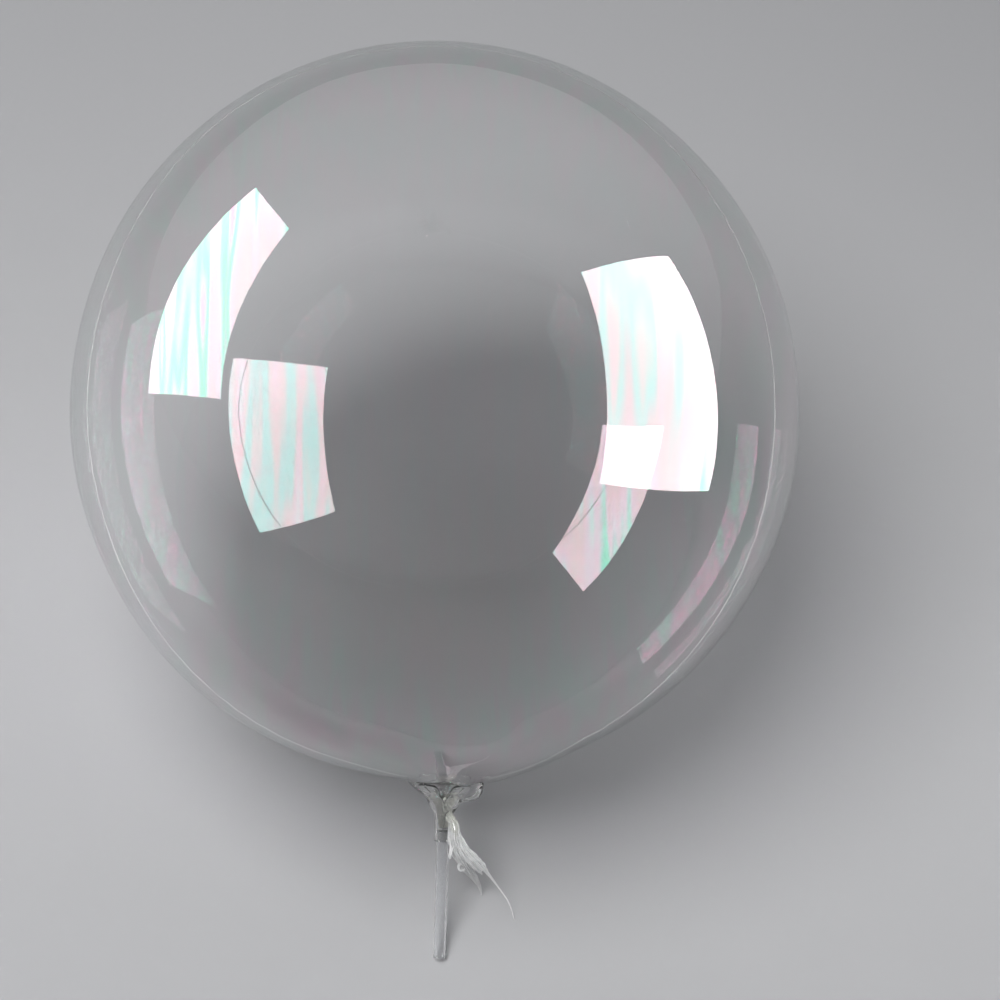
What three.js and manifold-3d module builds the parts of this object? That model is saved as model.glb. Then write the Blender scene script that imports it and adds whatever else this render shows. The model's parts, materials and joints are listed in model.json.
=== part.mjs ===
// Clear bubble balloon on its cup and stick, lying on a table.
// Millimetres. The balloon is modelled upright around its own middle, with the
// stick pointing down and the front at -Y, and the whole is then laid down so
// that it rests on a small flat spot of the balloon and on the end of the stick.

import * as THREE from "three";
import { mergeVertices } from "three/addons/utils/BufferGeometryUtils.js";
import Module from "manifold-3d";

const wasm = await Module();
wasm.setup();

// Balloon
const balloonWidth = 450;
const balloonHeight = 455;
const pullDepth = 4.5; // how far the neck draws the bottom down
const pullRadius = 95;
const flatSpotRadius = 30; // wide enough that a knock doesn't set it rolling
const neckOffset = 5.2; // the neck sits this far to the right of the middle
const ringsOfBalloon = 30;
const sidesOfBalloon = 60;

// Gathered neck of the film, and the tail that hangs out of the cup
const neckRadius = 4.4;
const neckConeRadius = 20; // where the underside turns down into the neck
const neckConeDepth = 12.5;
const neckStraightEnd = 18.5; // below the rim, where the neck turns to the slot
const neckOverlap = 3; // the turned part of the neck starts this far up inside it
const pleatCount = 10;
const pleatShare = 0.09;

// Cup
const rimRadius = 24.7;
const cupDepth = 22; // from the rim to the socket
const cupWall = 1.3;
const socketLength = 16.8;
const socketFlare = 0.3;
const socketFlareStart = 2.4; // above the socket's foot
const socketFlareEnd = 1;
const petalCount = 6;
const notchDepth = 13;
const notchWidth = 8.4;
const notchFootRadius = 0.8;
const petalTipRadius = 4.4;
const petalBulge = 5.6; // the right-hand petal bellies outwards
const sidesOfCup = 42;
const slotWidth = 6.4;
const slotTop = 17.5; // below the rim
const slotBottom = 30.5;
const slotAzimuth = -45;

// Stick
const stickDiameter = 8;
const stickWall = 1;
const stickShown = 74; // below the socket
const stickInSocket = 7.6;
const sidesOfStick = 24;

const clearance = 0.3;
const holderLean = 1.8; // degrees, the foot of the stick goes to the left

const rad = THREE.MathUtils.degToRad;
const halfWidth = balloonWidth / 2;
const halfHeight = balloonHeight / 2;
const stickRadius = stickDiameter / 2;
const socketBore = stickRadius + clearance;
const socketRadius = socketBore + cupWall;
const holderLength = cupDepth + socketLength + stickShown;

// Closed triangle mesh to solid and back

function toSolid(geometry) {
  const bare = geometry.clone();
  bare.deleteAttribute("normal");
  bare.deleteAttribute("uv");
  const merged = mergeVertices(bare, 1e-4);
  const mesh = new wasm.Mesh({
    numProp: 3,
    vertProperties: Float32Array.from(merged.attributes.position.array),
    triVerts: Uint32Array.from(merged.index.array),
  });
  mesh.merge();
  return new wasm.Manifold(mesh);
}

function toGeometry(solid) {
  const mesh = solid.getMesh();
  const geometry = new THREE.BufferGeometry();
  geometry.setAttribute("position", new THREE.BufferAttribute(mesh.vertProperties, 3));
  geometry.setIndex(new THREE.BufferAttribute(mesh.triVerts, 1));
  geometry.computeVertexNormals();
  return geometry;
}

// A lathe turns around Y, and the model's axis is Z
function lathe(profile, sides) {
  const points = profile.map(([r, z]) => new THREE.Vector2(r, z));
  return new THREE.LatheGeometry(points, sides).rotateX(Math.PI / 2);
}

function moveEach(geometry, move) {
  const at = geometry.attributes.position;
  const point = new THREE.Vector3();
  for (let i = 0; i < at.count; i += 1) {
    move(point.fromBufferAttribute(at, i));
    at.setXYZ(i, point.x, point.y, point.z);
  }
  return geometry;
}

const smooth = (low, high, value) => THREE.MathUtils.smoothstep(value, low, high);

// Balloon: an almost round spheroid whose bottom is drawn down to the neck

function undersideHeight(radius) {
  const share = Math.min(radius / pullRadius, 1);
  const pull = pullDepth * (1 - share * share) ** 2;
  return -halfHeight * Math.sqrt(1 - (radius / halfWidth) ** 2) - pull;
}

const seatHeight = undersideHeight(rimRadius - cupWall) - clearance;
const seat = new THREE.Vector3(neckOffset, 0, seatHeight);
const balloonLean = -Math.asin(neckOffset / -seatHeight);

const holderPlace = new THREE.Matrix4().compose(
  seat,
  new THREE.Quaternion().setFromAxisAngle(new THREE.Vector3(0, 1, 0), rad(holderLean)),
  new THREE.Vector3(1, 1, 1),
);

function balloonProfile() {
  const points = [[0, halfHeight]];
  const coneStart = Math.asin(neckConeRadius / halfWidth);
  for (let i = 1; i <= ringsOfBalloon; i += 1) {
    const angle = (Math.PI - coneStart) * (i / ringsOfBalloon);
    const radius = halfWidth * Math.sin(angle);
    const below = angle > Math.PI / 2;
    points.push([radius, below ? undersideHeight(radius) : halfHeight * Math.cos(angle)]);
  }
  const [edgeRadius, edgeHeight] = points.at(-1);
  const steps = 7;
  for (let i = 1; i <= steps; i += 1) {
    const t = i / steps;
    const radius = edgeRadius + (neckRadius - edgeRadius) * Math.sin((t * Math.PI) / 2);
    const height = seatHeight - neckConeDepth;
    points.push([radius, edgeHeight + (height - edgeHeight) * (1 - Math.cos((t * Math.PI) / 2)) ** 0.8]);
  }
  points.push([neckRadius, seatHeight - neckStraightEnd]);
  points.push([0, seatHeight - neckStraightEnd]);
  return points.reverse();
}

function balloonBody() {
  const body = lathe(balloonProfile(), sidesOfBalloon);
  const towardsHolder = rad(holderLean) - balloonLean;
  const turn = new THREE.Quaternion();
  const upAxis = new THREE.Vector3(0, 1, 0);
  const neckTop = new THREE.Vector3(0, 0, seatHeight);
  return moveEach(body, (point) => {
    const radius = Math.hypot(point.x, point.y);
    const low = smooth(0, halfHeight / 2, -point.z);
    const pleat = (1 - smooth(neckRadius, neckConeRadius, radius)) * low;
    const swell = 1 + pleatShare * pleat * Math.cos(pleatCount * Math.atan2(point.y, point.x));
    point.x *= swell;
    point.y *= swell;
    // the film around the neck sits square on the cup
    const share = (1 - smooth(rimRadius, pullRadius, radius)) * low;
    turn.setFromAxisAngle(upAxis, towardsHolder * share);
    point.sub(neckTop).applyQuaternion(turn).add(neckTop);
  }).rotateY(balloonLean);
}

// A bunch of film: rings of a rippled flat section, set along a smooth curve.
// Each station is [x, y, z, width, thickness], in the holder's own frame.
function bunch(stations, { rings, sides, ripple, twist }) {
  const path = new THREE.CatmullRomCurve3(stations.map(([x, y, z]) => new THREE.Vector3(x, y, z)));
  const front = new THREE.Vector3(0, -1, 0);
  const places = [];
  for (let k = 0; k <= rings; k += 1) {
    const t = k / rings;
    const slot = Math.min(Math.floor(t * (stations.length - 1)), stations.length - 2);
    const part = t * (stations.length - 1) - slot;
    const width = THREE.MathUtils.lerp(stations[slot][3], stations[slot + 1][3], part) / 2;
    const depth = THREE.MathUtils.lerp(stations[slot][4], stations[slot + 1][4], part) / 2;
    const centre = path.getPoint(t);
    const along = path.getTangent(t);
    const across = new THREE.Vector3().crossVectors(along, front).normalize();
    const facing = new THREE.Vector3().crossVectors(across, along).normalize();
    for (let i = 0; i < sides; i += 1) {
      const angle = (2 * Math.PI * i) / sides;
      const swell = 1 + ripple * Math.cos(3 * angle + twist * t);
      places.push(
        centre.clone()
          .addScaledVector(across, width * swell * Math.cos(angle))
          .addScaledVector(facing, depth * swell * Math.sin(angle)),
      );
    }
  }
  const first = places.push(path.getPoint(0)) - 1;
  const last = places.push(path.getPoint(1)) - 1;
  const faces = [];
  for (let i = 0; i < sides; i += 1) {
    const next = (i + 1) % sides;
    for (let k = 0; k < rings; k += 1) {
      const low = k * sides;
      const high = low + sides;
      faces.push(low + i, high + next, low + next, low + i, high + i, high + next);
    }
    faces.push(first, i, next, last, rings * sides + next, rings * sides + i);
  }
  const geometry = new THREE.BufferGeometry().setFromPoints(places);
  geometry.setIndex(faces);
  return geometry.applyMatrix4(holderPlace);
}

const slotAcross = Math.cos(rad(slotAzimuth));
const slotOut = Math.sin(rad(slotAzimuth));

function neckAndTail() {
  const through = slotWidth - 2 * clearance;
  const neck = bunch([
    [0, 0, -neckStraightEnd + neckOverlap, 1.84 * neckRadius, 1.84 * neckRadius],
    [0.8 * slotAcross, 0.8 * slotOut, -20.2, 7, 6.6],
    [3.4 * slotAcross, 3.4 * slotOut, -23.4, 5, 5],
    [6.6 * slotAcross, 6.6 * slotOut, -25.6, through * 0.75, 4.4],
    [9.2 * slotAcross, 9.2 * slotOut, -29, 7.4, 4.2],
    [8.9, -8.4, -35.5, 9.2, 4],
  ], { rings: 11, sides: 12, ripple: 0.07, twist: 1 });
  const broad = bunch([
    [6.3, -6.3, -28.4, 4.6, 3],
    [8.4, -8.4, -36.9, 8.8, 4],
    [11.1, -5, -46.3, 8.2, 3.8],
    [15.4, 7, -56, 6.9, 3.2],
    [21.2, 22, -67, 5, 2.2],
    [25.8, 29.8, -80, 1.4, 1.2],
  ], { rings: 14, sides: 12, ripple: 0.2, twist: 3 });
  const slim = bunch([
    [6.6, -6.6, -28.6, 4, 2.8],
    [13.6, -8.6, -39.6, 5, 2.8],
    [19.3, -4.4, -47.5, 5.6, 2.6],
    [24.8, 3, -55.4, 4.6, 2.2],
    [30.2, 10, -63, 2.4, 1.6],
    [36, 15.5, -73, 1.5, 1.3],
    [46.4, 19.2, -91.9, 1, 1],
  ], { rings: 16, sides: 10, ripple: 0.18, twist: -3 });
  return [neck, broad, slim];
}

// How the whole lies: the balloon's underside and the foot of the stick touch

function restAngle() {
  const sunk = halfWidth - Math.sqrt(halfWidth ** 2 - flatSpotRadius ** 2);
  const footDrop = -seatHeight + holderLength * Math.cos(rad(holderLean));
  let angle = rad(45);
  let height = halfWidth;
  for (let i = 0; i < 8; i += 1) {
    height = Math.hypot(halfHeight * Math.sin(angle), halfWidth * Math.cos(angle)) - sunk;
    angle = Math.asin(height / Math.hypot(footDrop, stickRadius)) - Math.atan2(stickRadius, footDrop);
  }
  return { angle, height };
}

const rest = restAngle();
const layDown = new THREE.Matrix4()
  .makeRotationX(rest.angle - Math.PI / 2)
  .setPosition(0, 0, rest.height);

function floorBelow() {
  const thick = halfWidth;
  return new THREE.BoxGeometry(2 * balloonWidth, 4 * balloonWidth, thick)
    .translate(0, 0, -thick / 2)
    .applyMatrix4(layDown.clone().invert());
}

function balloonGeometry() {
  let film = toSolid(balloonBody());
  for (const piece of neckAndTail()) {
    film = film.add(toSolid(piece));
  }
  return toGeometry(film.subtract(toSolid(floorBelow())));
}

// Cup: a flared funnel cut into petals, with a socket for the stick

const flareShape = [
  [1, 0],
  [0.765, 0.26],
  [0.56, 0.41],
  [0.46, 0.55],
  [0.365, 0.77],
];

function cupProfile() {
  const outer = flareShape.map(([r, d]) => new THREE.Vector2(rimRadius * r, -cupDepth * d));
  outer.push(new THREE.Vector2(socketRadius, -cupDepth));
  const curve = new THREE.SplineCurve(outer);
  const steps = 10;
  const outside = [];
  const inside = [];
  for (let i = 0; i <= steps; i += 1) {
    const point = curve.getPoint(i / steps);
    const along = curve.getTangent(i / steps);
    outside.push([point.x, point.y]);
    inside.push([Math.max(point.x + along.y * cupWall, socketBore), point.y - along.x * cupWall]);
  }
  inside[0][1] = 0; // a level lip
  const foot = -cupDepth - socketLength;
  return [
    ...outside,
    [socketRadius, foot + socketFlareStart],
    [socketRadius + socketFlare, foot + socketFlareEnd],
    [socketRadius + socketFlare, foot],
    [socketBore, foot],
    ...inside.reverse(),
    outside[0],
  ].reverse();
}

// The gap between two petals, drawn face on and pushed outwards from the axis
function notchCutter(azimuth) {
  const half = notchWidth / 2;
  const top = 2;
  const shape = new THREE.Shape();
  shape.moveTo(-half - petalTipRadius, top);
  shape.lineTo(-half - petalTipRadius, 0);
  shape.quadraticCurveTo(-half, 0, -half * 0.92, -petalTipRadius);
  shape.lineTo(-notchFootRadius, -notchDepth + notchFootRadius);
  shape.absarc(0, -notchDepth + notchFootRadius, notchFootRadius, Math.PI, 2 * Math.PI, false);
  shape.lineTo(half * 0.92, -petalTipRadius);
  shape.quadraticCurveTo(half, 0, half + petalTipRadius, 0);
  shape.lineTo(half + petalTipRadius, top);
  shape.closePath();
  const cutter = new THREE.ExtrudeGeometry(shape, {
    depth: rimRadius * 1.2,
    bevelEnabled: false,
    curveSegments: 5,
  });
  return cutter.rotateX(Math.PI / 2).rotateZ(azimuth + Math.PI / 2);
}

function slotCutter() {
  const half = slotWidth / 2;
  const shape = new THREE.Shape();
  shape.moveTo(-half, -slotTop - half);
  shape.lineTo(-half, -slotBottom + half);
  shape.absarc(0, -slotBottom + half, half, Math.PI, 2 * Math.PI, false);
  shape.lineTo(half, -slotTop - half);
  shape.absarc(0, -slotTop - half, half, 0, Math.PI, false);
  const cutter = new THREE.ExtrudeGeometry(shape, {
    depth: rimRadius,
    bevelEnabled: false,
    curveSegments: 6,
  });
  return cutter.rotateX(Math.PI / 2).rotateZ(rad(slotAzimuth) + Math.PI / 2);
}

function cupGeometry() {
  let cup = toSolid(lathe(cupProfile(), sidesOfCup));
  for (let i = 0; i < petalCount; i += 1) {
    cup = cup.subtract(toSolid(notchCutter((2 * Math.PI * (i + 0.5)) / petalCount)));
  }
  cup = cup.subtract(toSolid(slotCutter()));
  return moveEach(toGeometry(cup), (point) => {
    const azimuth = Math.atan2(point.y, point.x);
    const middle = 1 - smooth(0.2, Math.PI / petalCount, Math.abs(azimuth));
    const rise = THREE.MathUtils.clamp((point.z + notchDepth) / notchDepth, 0, 1);
    const belly = petalBulge * middle * Math.sin(Math.PI * rise);
    point.x += belly * 0.72 * Math.cos(azimuth);
    point.y += belly * 0.72 * Math.sin(azimuth);
    point.z -= belly * 0.7;
  });
}

// Stick: a plain tube, open at both ends

function stickGeometry() {
  const length = stickInSocket + stickShown;
  const bore = stickRadius - stickWall;
  return lathe([
    [stickRadius, 0],
    [stickRadius, -length],
    [bore, -length],
    [bore, 0],
    [stickRadius, 0],
  ].reverse(), sidesOfStick);
}

// Materials, one function each

function clearFilm() {
  return new THREE.MeshStandardMaterial({
    color: 0xe9eef2, roughness: 0.05, metalness: 0, transparent: true, opacity: 0.3,
  });
}

function clearMoulding() {
  return new THREE.MeshStandardMaterial({
    color: 0xeef0ec, roughness: 0.1, metalness: 0, transparent: true, opacity: 0.5,
  });
}

function clearTube() {
  return new THREE.MeshStandardMaterial({
    color: 0xe4e6ea, roughness: 0.15, metalness: 0, transparent: true, opacity: 0.5,
  });
}

function named(name, geometry, material) {
  const mesh = new THREE.Mesh(geometry, material);
  mesh.name = name;
  return mesh;
}

// Assembly

const upright = new THREE.Group();
upright.add(named("balloon", balloonGeometry(), clearFilm()));

const holder = new THREE.Group();
holder.applyMatrix4(holderPlace);
holder.add(named("cup", cupGeometry(), clearMoulding()));
const stick = named("stick", stickGeometry(), clearTube());
stick.position.z = -cupDepth - socketLength + stickInSocket;
holder.add(stick);
upright.add(holder);
upright.applyMatrix4(layDown);

// The origin is on the table, below the middle of the whole
const model = new THREE.Group();
model.add(upright);
model.updateMatrixWorld(true);
const spread = new THREE.Box3().setFromObject(model, true);
const middle = spread.getCenter(new THREE.Vector3());
upright.position.sub(new THREE.Vector3(middle.x, middle.y, spread.min.z));

export default model;
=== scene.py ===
import json
import math

import bpy
import numpy as np
from mathutils import Matrix, Vector


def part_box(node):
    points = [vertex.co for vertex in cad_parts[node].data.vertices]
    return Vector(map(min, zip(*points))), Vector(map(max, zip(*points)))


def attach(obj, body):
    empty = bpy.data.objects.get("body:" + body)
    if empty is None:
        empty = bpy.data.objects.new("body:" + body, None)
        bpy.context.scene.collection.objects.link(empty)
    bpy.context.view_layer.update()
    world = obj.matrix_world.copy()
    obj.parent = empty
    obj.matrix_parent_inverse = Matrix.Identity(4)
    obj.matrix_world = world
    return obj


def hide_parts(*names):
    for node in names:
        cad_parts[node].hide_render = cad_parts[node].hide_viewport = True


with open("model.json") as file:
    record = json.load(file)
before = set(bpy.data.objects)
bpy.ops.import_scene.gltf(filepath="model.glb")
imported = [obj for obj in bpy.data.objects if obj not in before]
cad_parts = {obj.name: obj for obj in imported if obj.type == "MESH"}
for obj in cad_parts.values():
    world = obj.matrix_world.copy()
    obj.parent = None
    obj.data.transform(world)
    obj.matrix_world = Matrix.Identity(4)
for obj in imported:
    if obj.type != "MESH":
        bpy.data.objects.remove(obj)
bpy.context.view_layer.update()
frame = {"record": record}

# Sizes, as the CAD model has them
MM = 0.001
HALF_WIDTH = 225 * MM
HALF_HEIGHT = 227.5 * MM
PULL_DEPTH = 4.5 * MM
PULL_RADIUS = 95 * MM
NECK_OFFSET = 5.2 * MM
NECK_RADIUS = 4.4 * MM
NECK_CONE_RADIUS = 20 * MM
NECK_CONE_DEPTH = 12.5 * MM
NECK_STRAIGHT_END = 18.5 * MM
RIM_RADIUS = 24.7 * MM
CUP_DEPTH = 22 * MM
CUP_WALL = 1.3 * MM
SOCKET_LENGTH = 16.8 * MM
SOCKET_FLARE = 0.3 * MM
STICK_RADIUS = 4 * MM
STICK_WALL = 1 * MM
STICK_SHOWN = 74 * MM
STICK_IN_SOCKET = 7.6 * MM
CLEARANCE = 0.3 * MM
HOLDER_LEAN = math.radians(1.8)
PETALS = 6
NOTCH_DEPTH = 13 * MM
NOTCH_WIDTH = 8.4 * MM
PETAL_BULGE = 5.6 * MM
SLOT_AZIMUTH = math.radians(-45)
SLOT_WIDTH = 6.4 * MM
SLOT_TOP = 17.5 * MM
SLOT_BOTTOM = 30.5 * MM
FILM_WALL = 0.35 * MM
FILM_OFF_FLOOR = 0.2 * MM
SEAM_OFF_FLOOR = 0.1 * MM
TAIL_WALL = 0.14 * MM
NECK_WALL = 0.16 * MM

SOCKET_BORE = STICK_RADIUS + CLEARANCE
SOCKET_MIDDLE = SOCKET_BORE + CUP_WALL / 2

# How the photograph sees it: the camera stands square to the stick
CAMERA_DISTANCE = 6.4 * HALF_WIDTH
PICTURE = 1000
BALLOON_PX = (436.2, 412.0)
BALLOON_RADIUS_PX = 364.5


def mount(name):
    return next(m for m in frame["record"]["mounts"] if m["name"] == name)


def smooth(low, high, value):
    t = np.clip((value - low) / (high - low), 0, 1)
    return t * t * (3 - 2 * t)


def between(a, b, c, d, t):
    """A smooth curve through b and c, with a and d as their neighbours."""
    curve = 2 * b + (c - a) * t
    curve = curve + (2 * a - 5 * b + 4 * c - d) * t**2
    return 0.5 * (curve + (3 * b - 3 * c + d - a) * t**3)


# Where the balloon lies

foot_axis = Vector(mount("stick_foot")["axis"])
LIE = math.atan2(-foot_axis.z, -foot_axis.y)
low_corner, high_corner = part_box("balloon")
SUPPORT_UP = math.hypot(HALF_HEIGHT * math.sin(LIE), HALF_WIDTH * math.cos(LIE))
SUPPORT_BACK = math.hypot(HALF_HEIGHT * math.cos(LIE), HALF_WIDTH * math.sin(LIE))
MIDDLE = Vector((
    (low_corner.x + high_corner.x) / 2,
    high_corner.y - SUPPORT_BACK,
    high_corner.z - SUPPORT_UP,
))
UPRIGHT = Matrix.Translation(MIDDLE) @ Matrix.Rotation(LIE - math.pi / 2, 4, "X")


def underside(radius):
    share = np.minimum(radius / PULL_RADIUS, 1)
    return -HALF_HEIGHT * np.sqrt(1 - (radius / HALF_WIDTH) ** 2) - PULL_DEPTH * (1 - share**2) ** 2


SEAT_HEIGHT = float(underside(RIM_RADIUS - CUP_WALL)) - CLEARANCE
BALLOON_LEAN = -math.asin(NECK_OFFSET / -SEAT_HEIGHT)
HOLDER = UPRIGHT @ Matrix.Translation((NECK_OFFSET, 0, SEAT_HEIGHT)) @ Matrix.Rotation(HOLDER_LEAN, 4, "Y")


# Mesh helpers

def moved(points, matrix):
    m = np.array(matrix)
    return points @ m[:3, :3].T + m[:3, 3]


def new_object(name, points, faces, material, smooth_faces=True):
    mesh = bpy.data.meshes.new(name)
    mesh.from_pydata([tuple(p) for p in points], [], [tuple(f) for f in faces])
    mesh.validate()
    mesh.update()
    obj = bpy.data.objects.new(name, mesh)
    bpy.context.collection.objects.link(obj)
    mesh.materials.append(material)
    for polygon in mesh.polygons:
        polygon.use_smooth = smooth_faces
    return obj


def grid_faces(rows, columns, start=0, closed=True, flip=False):
    faces = []
    for j in range(rows - 1):
        for i in range(columns if closed else columns - 1):
            a = start + j * columns + i
            b = start + j * columns + (i + 1) % columns
            quad = (a, b, b + columns, a + columns)
            faces.append(quad[::-1] if flip else quad)
    return faces


def apply_modifiers(obj):
    graph = bpy.context.evaluated_depsgraph_get()
    mesh = bpy.data.meshes.new_from_object(obj.evaluated_get(graph))
    obj.modifiers.clear()
    obj.data = mesh


def carried(obj, node):
    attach(obj, "root")
    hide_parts(node)
    return obj


# Materials, one function each

def principled(name, **values):
    material = bpy.data.materials.new(name)
    material.use_nodes = True
    shader = material.node_tree.nodes["Principled BSDF"]
    for socket, value in values.items():
        shader.inputs[socket.replace("_", " ")].default_value = value
    return material, shader


def textured_bump(material, shader, scale, distance, strength, stretch=(1, 1, 1)):
    nodes, links = material.node_tree.nodes, material.node_tree.links
    place = nodes.new("ShaderNodeTexCoord")
    mapping = nodes.new("ShaderNodeMapping")
    mapping.inputs["Scale"].default_value = stretch
    pattern = nodes.new("ShaderNodeTexNoise")
    pattern.inputs["Scale"].default_value = scale
    pattern.inputs["Detail"].default_value = 4
    bump = nodes.new("ShaderNodeBump")
    bump.inputs["Distance"].default_value = distance
    bump.inputs["Strength"].default_value = strength
    links.new(place.outputs["Object"], mapping.inputs["Vector"])
    links.new(mapping.outputs["Vector"], pattern.inputs["Vector"])
    links.new(pattern.outputs["Fac"], bump.inputs["Height"])
    links.new(bump.outputs["Normal"], shader.inputs["Normal"])


def film_material():
    material, shader = principled(
        "clear_film", Base_Color=(1, 1, 1, 1), Roughness=0.0, IOR=1.6,
        Transmission_Weight=1.0, Thin_Film_IOR=1.33,
    )
    nodes, links = material.node_tree.nodes, material.node_tree.links
    place = nodes.new("ShaderNodeTexCoord")
    layers = []
    for scale, distortion, stretch in ((3.0, 0.4, (1, 1, 1)), (5.0, 0.0, (24, 1.5, 1.5))):
        mapping = nodes.new("ShaderNodeMapping")
        mapping.inputs["Scale"].default_value = stretch
        pattern = nodes.new("ShaderNodeTexNoise")
        pattern.inputs["Scale"].default_value = scale
        pattern.inputs["Detail"].default_value = 1
        pattern.inputs["Distortion"].default_value = distortion
        links.new(place.outputs["Object"], mapping.inputs["Vector"])
        links.new(mapping.outputs["Vector"], pattern.inputs["Vector"])
        layers.append(pattern)
    blend = nodes.new("ShaderNodeMath")
    blend.operation = "ADD"
    spread = nodes.new("ShaderNodeMapRange")
    for socket, value in (("From Min", 0.7), ("From Max", 1.3), ("To Min", 1350), ("To Max", 1950)):
        spread.inputs[socket].default_value = value
    for k, pattern in enumerate(layers):
        links.new(pattern.outputs["Fac"], blend.inputs[k])
    links.new(blend.outputs["Value"], spread.inputs["Value"])
    links.new(spread.outputs["Result"], shader.inputs["Thin Film Thickness"])
    return material


def weld_material():
    material, _ = principled(
        "weld", Base_Color=(1, 1, 1, 1), Roughness=0.15, IOR=1.5, Transmission_Weight=0.3,
    )
    return material


def gathered_material():
    material, _ = principled(
        "gathered_film", Base_Color=(1, 1, 0.94, 1), Roughness=0.1, IOR=1.5,
        Transmission_Weight=0.45, Sheen_Weight=0.4, Sheen_Roughness=0.4,
    )
    return material


def tail_material():
    material, _ = principled(
        "tail_film", Base_Color=(1, 1, 1, 1), Roughness=0.08, IOR=1.6,
        Transmission_Weight=0.15, Sheen_Weight=0.5, Sheen_Roughness=0.4,
    )
    return material


def moulded_material():
    material, shader = principled(
        "clear_moulding", Base_Color=(0.99, 0.99, 0.98, 1), Roughness=0.04, IOR=1.52,
        Transmission_Weight=1.0, Sheen_Weight=0.25, Sheen_Roughness=0.4,
    )
    textured_bump(material, shader, 60, 0.0003, 0.12)
    return material


def tube_material():
    material, shader = principled(
        "clear_tube", Base_Color=(0.93, 0.935, 0.945, 1), Roughness=0.08, IOR=1.5,
        Transmission_Weight=0.92, Sheen_Weight=0.6, Sheen_Roughness=0.3,
    )
    textured_bump(material, shader, 40, 0.0003, 0.15, (1, 1, 0.1))
    return material


# Balloon film

FILM_SIDES = 280
FILM_RINGS = 140
CONE_RINGS = 20
STRAIGHT_RINGS = 4
PLEATS = 18
# The weld of the two sheets, by its azimuth at the right and at the left. It is as far
# behind the middle as the photo shows it.
SEAM_AZIMUTHS = (math.radians(12.3), math.radians(171.5))
SEAM_WIDTH = 1.8 * MM
SEAM_THICKNESS = 0.8 * MM


def film_profile():
    cone_start = math.asin(NECK_CONE_RADIUS / HALF_WIDTH)
    angle = (math.pi - cone_start) * np.linspace(0.006, 1, FILM_RINGS)
    radius = HALF_WIDTH * np.sin(angle)
    height = np.where(angle > math.pi / 2, underside(radius), HALF_HEIGHT * np.cos(angle))
    turn = np.linspace(0, math.pi / 2, CONE_RINGS + 1)[1:]
    cone_end = SEAT_HEIGHT - NECK_CONE_DEPTH
    cone_radius = radius[-1] + (NECK_RADIUS - radius[-1]) * np.sin(turn)
    cone_height = height[-1] + (cone_end - height[-1]) * (1 - np.cos(turn)) ** 0.8
    straight = np.linspace(cone_end, SEAT_HEIGHT - NECK_STRAIGHT_END, STRAIGHT_RINGS + 1)[1:]
    radius = np.concatenate([radius, cone_radius, np.full(STRAIGHT_RINGS, NECK_RADIUS)])
    height = np.concatenate([height, cone_height, straight])
    return radius, height


CREASES = [
    (0.35, 58, 0.9), (1.25, 44, 0.6), (2.0, 70, 0.8), (2.75, 40, 0.7), (3.5, 62, 0.8),
    (4.15, 48, 0.9), (5.08, 84, 1.5), (5.6, 60, 0.8), (6.0, 52, 0.6),
]


def angle_between(a, b):
    return (a - b + math.pi) % (2 * math.pi) - math.pi


def seam_azimuth(side, angle):
    """The weld runs from the crown to the neck and swings back between them."""
    middle = 0 if side == 0 else math.pi
    return middle + (SEAM_AZIMUTHS[side] - middle) * np.sin(angle)


def creases(azimuth, radius, low):
    """How far the film stands off its smooth form in the long creases around the neck."""
    total = np.zeros_like(azimuth)
    for place, reach, height in CREASES:
        wide = 2.2 * MM + 0.05 * radius
        ridge = np.exp(-((angle_between(azimuth, place) * radius / wide) ** 2))
        total += height * MM * ridge * (1 - smooth(reach * MM * 0.35, reach * MM, radius))
    return total * low * smooth(RIM_RADIUS * 0.8, RIM_RADIUS * 1.4, radius)


def puckers(azimuth, angle, radius):
    """Small waves across the weld, and a faint unevenness of the whole film."""
    total = np.zeros_like(azimuth)
    along = HALF_WIDTH * angle
    for side in (0, 1):
        off = angle_between(azimuth, seam_azimuth(side, angle)) * radius
        fade = np.exp(-abs(off) / (11 * MM)) * smooth(40 * MM, 120 * MM, radius)
        beat = 0.55 + 0.45 * np.sin(along / (31 * MM) + 2.1 * side)
        phase = along / (2.9 * MM) + 1.3 * np.sin(along / (13 * MM)) + side
        total += (0.3, 0.24)[side] * MM * fade * beat * np.sin(phase)
    uneven = np.sin(3 * azimuth + 2.2 * np.sin(2 * angle)) * np.sin(5 * angle + 1.7 * np.cos(2 * azimuth))
    return total + 0.5 * MM * uneven * np.sin(angle)


def lie_square(points, azimuth, radius, low):
    """The film around the neck sits square on the cup, and all of it leans towards the neck."""
    share = (1 - smooth(RIM_RADIUS, PULL_RADIUS, radius)) * low * (HOLDER_LEAN - BALLOON_LEAN)
    x, z = points[:, 0].copy(), points[:, 2] - SEAT_HEIGHT
    points[:, 0] = x * np.cos(share) + z * np.sin(share)
    points[:, 2] = -x * np.sin(share) + z * np.cos(share) + SEAT_HEIGHT
    return moved(points, Matrix.Rotation(BALLOON_LEAN, 4, "Y"))


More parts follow.
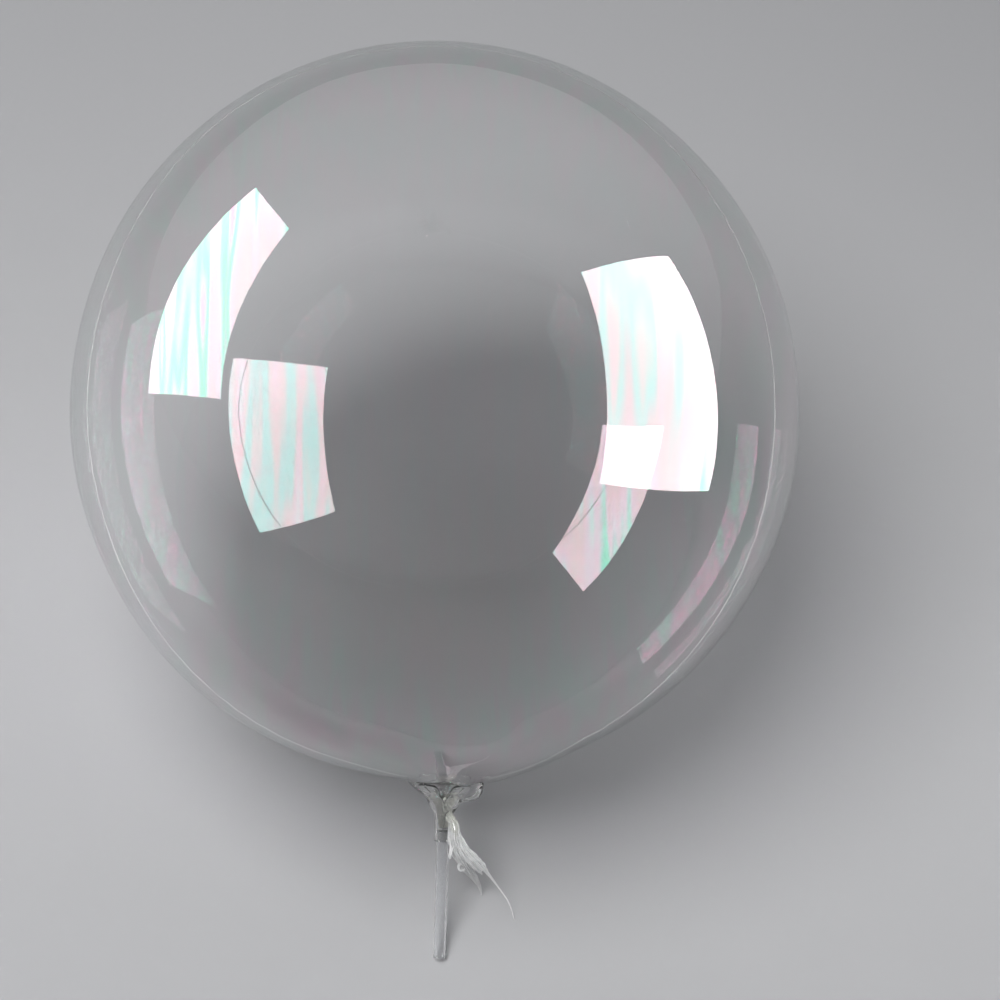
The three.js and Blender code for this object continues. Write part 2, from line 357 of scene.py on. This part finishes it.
def film_points(azimuth, inset):
    """Points of the film: one row of azimuths and insets for each ring of its profile."""
    radius, height = film_profile()
    slope = np.gradient(radius) + 1j * np.gradient(height)
    slope /= abs(slope)
    columns = azimuth.shape[1]
    azimuth, inset = azimuth.ravel(), inset.ravel()
    ring_radius, ring_height = np.repeat(radius, columns), np.repeat(height, columns)
    out_r, out_z = -np.repeat(slope.imag, columns), np.repeat(slope.real, columns)
    low = smooth(0, HALF_HEIGHT / 2, -ring_height)
    pleat = (1 - smooth(NECK_RADIUS, NECK_CONE_RADIUS * 1.3, ring_radius)) * low
    swell = 1 + 0.12 * pleat * np.cos(PLEATS * azimuth + 1.2 * np.sin(3 * azimuth))
    angle = np.arccos(np.clip(ring_height / HALF_HEIGHT, -1, 1))
    off = creases(azimuth, ring_radius, low) + puckers(azimuth, angle, ring_radius) - inset
    across = ring_radius * swell + off * out_r
    points = np.stack([
        across * np.cos(azimuth),
        across * np.sin(azimuth),
        ring_height + off * out_z,
    ], 1)
    return lie_square(points, azimuth, ring_radius, low)


def film_rings():
    return FILM_RINGS + CONE_RINGS + STRAIGHT_RINGS


def balloon_film(material):
    rings = film_rings()
    azimuth = np.tile(np.linspace(0, 2 * math.pi, FILM_SIDES, endpoint=False), (rings, 1))
    points, faces = [], []
    for inset in (0, FILM_WALL):
        start = sum(len(p) for p in points)
        surface = film_points(azimuth, np.full_like(azimuth, inset))
        crown = surface[:FILM_SIDES].mean(0)
        foot = surface[-FILM_SIDES:].mean(0)
        points.append(np.vstack([surface, crown, foot]))
        inner = inset > 0
        faces += grid_faces(rings, FILM_SIDES, start, flip=not inner)
        for i in range(FILM_SIDES):
            j = (i + 1) % FILM_SIDES
            last = start + (rings - 1) * FILM_SIDES
            top = (start + i, start + j, start + rings * FILM_SIDES)
            end = (last + j, last + i, start + rings * FILM_SIDES + 1)
            faces += [f[::-1] if inner else f for f in (top, end)]
    world = moved(np.vstack(points), UPRIGHT)
    outer = len(points[0])
    world[:outer, 2] = np.maximum(world[:outer, 2], FILM_OFF_FLOOR)
    world[outer:, 2] = np.maximum(world[outer:, 2], FILM_OFF_FLOOR + FILM_WALL)
    return carried(new_object("balloon_film", world, faces, material), "balloon")


def film_seam(material):
    """The weld as a thin flat bead, proud of the film on both faces."""
    rings = film_rings()
    radius, height = film_profile()
    angle = np.arccos(np.clip(height / HALF_HEIGHT, -1, 1))
    section = [(-1, 0.5), (-0.6, 0.1), (0, 0), (0.6, 0.1), (1, 0.5), (0.6, 0.9), (0, 1), (-0.6, 0.9)]
    across = np.array([c for c, _ in section]) * SEAM_WIDTH / 2
    depth = np.array([d for _, d in section]) * SEAM_THICKNESS - (SEAM_THICKNESS - FILM_WALL) / 2
    opposite = np.tile([0.0, math.pi], (rings, 1))
    crown = film_points(opposite, np.zeros_like(opposite))[:2].mean(0)
    points, faces = [], []
    for side in (0, 1):
        azimuth = seam_azimuth(side, angle)[:, None] + across[None, :] / np.maximum(radius, MM)[:, None]
        strip = film_points(azimuth, np.tile(depth, (rings, 1)))
        shown = np.flatnonzero((radius > 1.5 * MM) & ((height > 0) | (radius > RIM_RADIUS)))
        start = len(points)
        # The two strips meet at the crown, so each gets one more section there
        first = strip[shown[0] * len(section):(shown[0] + 1) * len(section)]
        way_to_crown = crown - first.mean(0)
        way_to_crown[2] = 0
        points += list(first + way_to_crown)
        for ring in shown:
            points += list(strip[ring * len(section):(ring + 1) * len(section)])
        faces += grid_faces(len(shown) + 1, len(section), start, flip=True)
        faces.append(tuple(range(start, start + len(section))))
        faces.append(tuple(range(len(points) - len(section), len(points)))[::-1])
    world = moved(np.array(points), UPRIGHT)
    world[:, 2] = np.maximum(world[:, 2], SEAM_OFF_FLOOR)
    return carried(new_object("film_seam", world, faces, material), "balloon")


# Cup: one sheet for the socket, the funnel and the petals, given its wall by Solidify

PETAL_COLUMNS = 14
FLARE = [(1, 0), (0.765, 0.26), (0.56, 0.41), (0.46, 0.55), (0.365, 0.77)]


def cup_curve():
    """Middle of the funnel's wall, from the socket up to the rim, as radius and height."""
    outer = [Vector((RIM_RADIUS * r - CUP_WALL / 2, -CUP_DEPTH * d)) for r, d in FLARE]
    keys = outer + [Vector((SOCKET_MIDDLE, -CUP_DEPTH))]
    keys = [keys[0] * 2 - keys[1]] + keys + [keys[-1] + Vector((0, -4 * MM))]
    samples = []
    for a, b, c, d in zip(keys, keys[1:], keys[2:], keys[3:]):
        for k in range(12):
            t = k / 12
            samples.append(between(a, b, c, d, t))
    samples.append(keys[-2])
    return np.array([tuple(p) for p in samples])[::-1]


def cup_sheet():
    curve = cup_curve()
    depth_of_notch = -NOTCH_DEPTH
    columns = PETALS * PETAL_COLUMNS
    lower = curve[curve[:, 1] < depth_of_notch]
    upper = curve[curve[:, 1] >= depth_of_notch]
    foot = -CUP_DEPTH - SOCKET_LENGTH
    rings = []
    for k, z in enumerate(np.linspace(foot, -CUP_DEPTH, 12)[:-1]):
        flare = SOCKET_FLARE * (1 - smooth(0, 2.4 * MM, z - foot))
        rings.append((SOCKET_MIDDLE + flare, z))
    rings += [tuple(p) for p in lower[::3]]
    points, faces = [], []
    for radius, z in rings:
        for i in range(columns):
            azimuth = 2 * math.pi * (i + 0.5 - PETAL_COLUMNS / 2) / columns
            points.append((radius * math.cos(azimuth), radius * math.sin(azimuth), z))
    faces += grid_faces(len(rings), columns)
    base = (len(rings) - 1) * columns
    rows = 12
    arc = np.linspace(0, 1, len(upper))
    for petal in range(PETALS):
        ids = [[base + (petal * PETAL_COLUMNS + c) % columns for c in range(PETAL_COLUMNS)]]
        for j in range(1, rows + 1):
            row = []
            for c in range(PETAL_COLUMNS):
                q = (c + 0.5 - PETAL_COLUMNS / 2) / (PETAL_COLUMNS / 2 - 0.5)
                tip = 1 - 0.2 * (1 - (1 - abs(q) ** 3.2) ** 0.5)
                s = j / rows * tip
                radius = np.interp(s, arc, upper[:, 0])
                z = np.interp(s, arc, upper[:, 1])
                half_gap = NOTCH_WIDTH / 2 * s**0.8 / radius
                half = math.pi / PETALS * (1 - 1 / PETAL_COLUMNS) - max(half_gap - math.pi / columns, 0)
                azimuth = 2 * math.pi * petal / PETALS + q * half
                points.append((radius * math.cos(azimuth), radius * math.sin(azimuth), z))
                row.append(len(points) - 1)
            ids.append(row)
        for low, high in zip(ids, ids[1:]):
            for c in range(PETAL_COLUMNS - 1):
                faces.append((low[c], low[c + 1], high[c + 1], high[c]))
    return np.array(points), faces


def bulge_petal(points):
    azimuth = np.arctan2(points[:, 1], points[:, 0])
    middle = 1 - smooth(0.2, math.pi / PETALS, abs(azimuth))
    rise = np.clip((points[:, 2] + NOTCH_DEPTH) / NOTCH_DEPTH, 0, 1)
    belly = PETAL_BULGE * middle * np.sin(math.pi * rise)
    points[:, 0] += belly * 0.72 * np.cos(azimuth)
    points[:, 1] += belly * 0.72 * np.sin(azimuth)
    points[:, 2] -= belly * 0.7
    return points


def open_slot(points, faces):
    """Cuts the side slot: faces inside it go, and the points around it move onto its outline."""
    azimuth = np.arctan2(points[:, 1], points[:, 0])
    radius = np.hypot(points[:, 0], points[:, 1])
    across = (azimuth - SLOT_AZIMUTH) * SOCKET_MIDDLE
    along = points[:, 2] + (SLOT_TOP + SLOT_BOTTOM) / 2
    half_long = (SLOT_BOTTOM - SLOT_TOP) / 2
    reach = np.hypot(across / (SLOT_WIDTH / 2), along / half_long)
    kept = [f for f in faces if np.mean([reach[i] for i in f]) > 0.95]
    used = {i for f in kept for i in f}
    edge = {i for f in faces if f not in set(kept) for i in f} & used
    for i in edge:
        scale = 1 / max(reach[i], 1e-6)
        new_azimuth = SLOT_AZIMUTH + across[i] * scale / SOCKET_MIDDLE
        points[i, 0] = radius[i] * math.cos(new_azimuth)
        points[i, 1] = radius[i] * math.sin(new_azimuth)
        points[i, 2] += along[i] * (scale - 1)
    order = sorted(used)
    place = {old: new for new, old in enumerate(order)}
    return points[order], [tuple(place[i] for i in f) for f in kept]


def moulded_cup(material):
    points, faces = cup_sheet()
    points, faces = open_slot(points, faces)
    points = moved(bulge_petal(points), HOLDER)
    cup = new_object("moulded_cup", points, faces, material)
    wall = cup.modifiers.new("wall", "SOLIDIFY")
    wall.thickness = CUP_WALL
    wall.offset = 0
    wall.use_even_offset = True
    rounding = cup.modifiers.new("rounding", "SUBSURF")
    rounding.levels = rounding.render_levels = 2
    apply_modifiers(cup)
    return carried(cup, "cup")


# Stick: a tube with softly rounded cut ends

def hollow_stick(material):
    top = -CUP_DEPTH - SOCKET_LENGTH + STICK_IN_SOCKET
    bottom = -CUP_DEPTH - SOCKET_LENGTH - STICK_SHOWN
    bore = STICK_RADIUS - STICK_WALL
    edge = 0.18 * MM
    profile = [(STICK_RADIUS, z) for z in np.linspace(top - edge, bottom + edge, 30)]
    profile += [(STICK_RADIUS - edge, bottom), (bore + edge, bottom)]
    profile += [(bore, z) for z in np.linspace(bottom + edge, top - edge, 30)]
    profile += [(bore + edge, top), (STICK_RADIUS - edge, top)]
    sides = 64
    points = [
        (r * math.cos(2 * math.pi * i / sides), r * math.sin(2 * math.pi * i / sides), z)
        for r, z in profile for i in range(sides)
    ]
    faces = grid_faces(len(profile), sides, flip=True)
    last = (len(profile) - 1) * sides
    for i in range(sides):
        j = (i + 1) % sides
        faces.append((last + j, last + i, i, j)[::-1])
    stick = new_object("hollow_stick", moved(np.array(points), HOLDER), faces, material)
    return carried(stick, "stick")


# Gathered neck and tail

def smooth_path(stations, count):
    keys = np.array(stations, float)
    keys[:, :5] *= MM
    ends = np.vstack([2 * keys[0] - keys[1], keys, 2 * keys[-1] - keys[-2]])
    rows = []
    for t in np.linspace(0, len(keys) - 1 - 1e-9, count):
        k = int(t)
        u = t - k
        a, b, c, d = ends[k:k + 4]
        rows.append(between(a, b, c, d, u))
    return np.array(rows)


def path_frames(rows):
    places = [Vector(r[:3]) for r in rows]
    frames = []
    for k, place in enumerate(places):
        along = (places[min(k + 1, len(places) - 1)] - places[max(k - 1, 0)]).normalized()
        across = along.cross(Vector((0, -1, 0))).normalized()
        frames.append((place, across, across.cross(along).normalized()))
    return frames


class Crumple:
    """Collects folded film as flat facets, so that the creases stay sharp."""

    def __init__(self, seed):
        self.random = np.random.RandomState(seed)
        self.points = []
        self.faces = []

    def shake(self, amount):
        return float(self.random.uniform(-amount, amount))

    def strip(self, stations, count, columns):
        """A strip of film folded lengthwise like a fan, with ragged edges and a ragged end."""
        rows = smooth_path(stations, count)
        start = len(self.points)
        heights = [(-1) ** c * self.random.uniform(0.45, 1) for c in range(columns)]
        for k, (place, across, facing) in enumerate(path_frames(rows)):
            width, depth = rows[k][3] / 2, rows[k][4] / 2
            step = (Vector(rows[min(k + 1, count - 1)][:3]) - Vector(rows[max(k - 1, 0)][:3])) / 2
            for c in range(columns):
                q = 2 * c / (columns - 1) - 1
                edge = abs(q) > 0.99
                side = q * width + self.shake(0.16 if edge else 0.1) * width
                lift = heights[c] * depth * (0.8 + self.shake(0.4))
                self.points.append(place + across * side + facing * lift + step * self.shake(0.3))
        for k in range(count - 1):
            for c in range(columns - 1):
                a = start + k * columns + c
                quad = (a, a + 1, a + columns + 1, a + columns)
                if (k + c) % 2:
                    self.faces += [(quad[0], quad[1], quad[2]), (quad[0], quad[2], quad[3])]
                else:
                    self.faces += [(quad[0], quad[1], quad[3]), (quad[1], quad[2], quad[3])]

    def bunch(self, stations, count, sides, ripple, ragged):
        """A pleated bundle; its first ring can be ragged, as the tips of the pleats are."""
        rows = smooth_path(stations, count)
        start = len(self.points)
        frames = path_frames(rows)
        along = (frames[1][0] - frames[0][0]).normalized()
        for k, (place, across, facing) in enumerate(frames):
            for i in range(sides):
                angle = 2 * math.pi * i / sides
                swell = 1 + ripple * (-1) ** i * (0.7 + self.shake(0.5)) + self.shake(0.05)
                point = place + across * rows[k][3] / 2 * swell * math.cos(angle)
                point += facing * rows[k][4] / 2 * swell * math.sin(angle)
                if k == 0:
                    point -= along * ragged * (0.9 if i % 2 else -0.3) * (1 + self.shake(0.8))
                self.points.append(point)
        for k in range(count - 1):
            for i in range(sides):
                a, b = start + k * sides + i, start + k * sides + (i + 1) % sides
                self.faces += [(a, b, b + sides), (a, b + sides, a + sides)]

    def build(self, name, material, wall):
        world = moved(np.array([tuple(p) for p in self.points]), HOLDER)
        world[:, 2] = np.maximum(world[:, 2], wall)
        film = new_object(name, world, self.faces, material, smooth_faces=False)
        thick = film.modifiers.new("wall", "SOLIDIFY")
        thick.thickness = wall
        thick.offset = 0
        apply_modifiers(film)
        return carried(film, "balloon")


def gathered_neck(material):
    """The film's pleats in the throat of the cup, down its socket and out of its slot."""
    neck = Crumple(5)
    neck.bunch([
        [0, 0, -10.5, 16.5, 16.5], [0, 0, -13, 12.5, 12.5], [0, 0, -16.5, 9.6, 9.6],
        [0, 0, -21, 7.4, 7.4], [0, 0, -25, 7, 7], [0, 0, -30.2, 5, 5],
    ], 18, 26, 0.2, 2.2 * MM)
    neck.bunch([
        [0, 0, -11.5, 9, 9], [0, 0, -15, 7.4, 7.4], [1.6, -1.6, -20, 6, 5.6],
        [4.4, -4.4, -24, 4.6, 4.6], [6.4, -6.4, -27, 5, 4.4], [7.6, -7.8, -31, 5, 3], [8.2, -8.4, -35, 3, 2],
    ], 22, 18, 0.22, 1.6 * MM)
    neck.build("gathered_neck", material, NECK_WALL)


def film_tail(material):
    tail = Crumple(11)
    tail.strip([
        [6.4, -6.4, -26, 4, 2.8], [9, -9, -33, 4, 2.6], [14.5, -8.6, -42, 4.4, 2.4],
        [20.5, -5, -48.5, 4.8, 2.4], [25, 0, -54, 4.4, 2], [28.6, 6, -59.5, 2.2, 1.2],
        [35, 12.6, -68.5, 0.9, 0.6], [43.4, 18, -81, 0.8, 0.4], [47.2, 19.4, -92, 0.4, 0.3],
    ], 30, 7)
    tail.strip([
        [6.2, -6.2, -26, 4.5, 3], [7.6, -9.4, -36, 6, 3], [11, -6.5, -45, 5.8, 2.8],
        [15.5, 3, -54, 5.2, 2.4], [19.5, 14, -62, 4.2, 2], [23.3, 23, -69.5, 2.8, 1.4],
        [25.6, 28.6, -76, 1.2, 0.8], [26, 30.2, -79, 0.4, 0.3],
    ], 22, 9)
    tail.strip([
        [5.4, -6.4, -26, 4, 2.6], [5, -9.8, -35, 4.6, 2.6], [6.6, -8.4, -42, 4.2, 2.4],
        [9.6, -1.5, -50, 3.6, 2], [13.8, 8, -57.5, 3, 1.8], [18.6, 18, -64.5, 2.4, 1.4],
        [22.8, 25, -70.5, 1.4, 0.8], [24.6, 28, -73.6, 0.4, 0.3],
    ], 20, 7)
    tail.strip([
        [6.8, -6.6, -26.5, 4, 2.6], [9.8, -9, -37, 4.6, 2.6], [14, -6.8, -46, 4.2, 2.2],
        [19.5, -1.4, -53, 4.2, 1.8], [23, 4, -57.5, 3, 1.4], [25.5, 8, -61, 0.8, 0.6],
    ], 15, 7)
    loop = [
        [12.6 - 2.3 * math.cos(t), 3 + 1.6 * t, -55.6 - 2.9 * math.sin(t), 1.6, 0.5]
        for t in np.linspace(-1.5, 3.6, 12)
    ]
    tail.strip(loop, 20, 4)
    tail.strip([
        [5.8, -9.6, -40, 2.4, 1.2], [4.9, -9.8, -44.5, 2, 1], [4.4, -8.6, -47.6, 1.6, 0.8],
        [5.4, -7.4, -48.4, 1.2, 0.5],
    ], 12, 4)
    tail.build("film_tail", material, TAIL_WALL)


# Room: floor, light and camera

FLOOR_HALF = 25.0

def pale_floor():
    half = FLOOR_HALF
    points = [(-half, -half, 0), (half, -half, 0), (half, half, 0), (-half, half, 0)]
    material, _ = principled("pale_floor", Base_Color=(0.41, 0.41, 0.42, 1), Roughness=0.85)
    floor = new_object("floor", points, [(0, 1, 2, 3)], material, smooth_faces=False)


# Softboxes, in radii of the balloon and in the upright frame. They show in the film
# where the photo has its bright patches.
SOFTBOXES = {
    "left_softbox": {
        "place": (-5.31, -1.47, 3.13), "size": (2.95, 5.7), "turn": -90.0, "tip": -6.6, "energy": 23,
    },
    "right_softbox": {
        "place": (3.02, -1.46, 0.71), "size": (2.33, 3.38), "turn": 61.0, "tip": 4.0, "energy": 17,
    },
}


def softboxes():
    for name, box in SOFTBOXES.items():
        light = bpy.data.lights.new(name, "AREA")
        light.shape = "RECTANGLE"
        light.size, light.size_y = (s * HALF_WIDTH for s in box["size"])
        light.energy = box["energy"]
        obj = bpy.data.objects.new(name, light)
        bpy.context.collection.objects.link(obj)
        place = Vector(box["place"]) * HALF_WIDTH
        wide = Matrix.Rotation(math.radians(box["turn"]), 3, "Z") @ Vector((1, 0, 0))
        tall = Matrix.Rotation(math.radians(box["tip"]), 3, wide) @ Vector((0, 0, 1))
        out = wide.cross(tall)
        if out.dot(place) < 0:
            wide, out = -wide, -out
        turn = Matrix((wide, tall, out)).transposed().to_4x4()
        obj.matrix_world = UPRIGHT @ Matrix.Translation(place) @ turn
        obj.visible_diffuse = False
        obj.visible_camera = False


def soft_fill():
    light = bpy.data.lights.new("overhead", "AREA")
    light.shape = "DISK"
    light.size = 1.4
    light.energy = 46
    obj = bpy.data.objects.new("overhead", light)
    bpy.context.collection.objects.link(obj)
    obj.location = (-0.6, -0.5, 2.2)
    obj.rotation_euler = (-obj.location).to_track_quat("-Z", "Y").to_euler()
    obj.visible_glossy = False
    obj.visible_transmission = False
    obj.visible_camera = False
    world = bpy.data.worlds.new("room")
    bpy.context.scene.world = world
    world.use_nodes = True
    world.node_tree.nodes["Background"].inputs["Color"].default_value = (0.31, 0.315, 0.325, 1)


def camera():
    lens = bpy.data.cameras.new("camera")
    obj = bpy.data.objects.new("camera", lens)
    bpy.context.collection.objects.link(obj)
    focal_px = BALLOON_RADIUS_PX / math.tan(math.asin(HALF_WIDTH / CAMERA_DISTANCE))
    lens.sensor_width = 36
    lens.lens = lens.sensor_width * focal_px / PICTURE
    lens.clip_start = 0.05
    right = (BALLOON_PX[0] - PICTURE / 2) / focal_px
    up = (PICTURE / 2 - BALLOON_PX[1]) / focal_px
    yaw = Matrix.Rotation(math.atan(right), 4, "Y")
    pitch = Matrix.Rotation(-math.atan(up * math.cos(math.atan(right))), 4, "X")
    facing = Matrix.Rotation(math.pi / 2, 4, "X")
    stand = Matrix.Translation((0, -CAMERA_DISTANCE, 0))
    obj.matrix_world = UPRIGHT @ stand @ facing @ yaw @ pitch
    bpy.context.scene.camera = obj


camera()
film = film_material()
gathered = gathered_material()
balloon_film(film)
film_seam(weld_material())
gathered_neck(gathered)
film_tail(tail_material())
moulded_cup(moulded_material())
hollow_stick(tube_material())
pale_floor()
softboxes()
soft_fill()

scene = bpy.context.scene
scene.view_settings.view_transform = "Standard"
scene.cycles.max_bounces = 10
scene.cycles.transmission_bounces = 10
scene.cycles.glossy_bounces = 4
scene.cycles.diffuse_bounces = 2
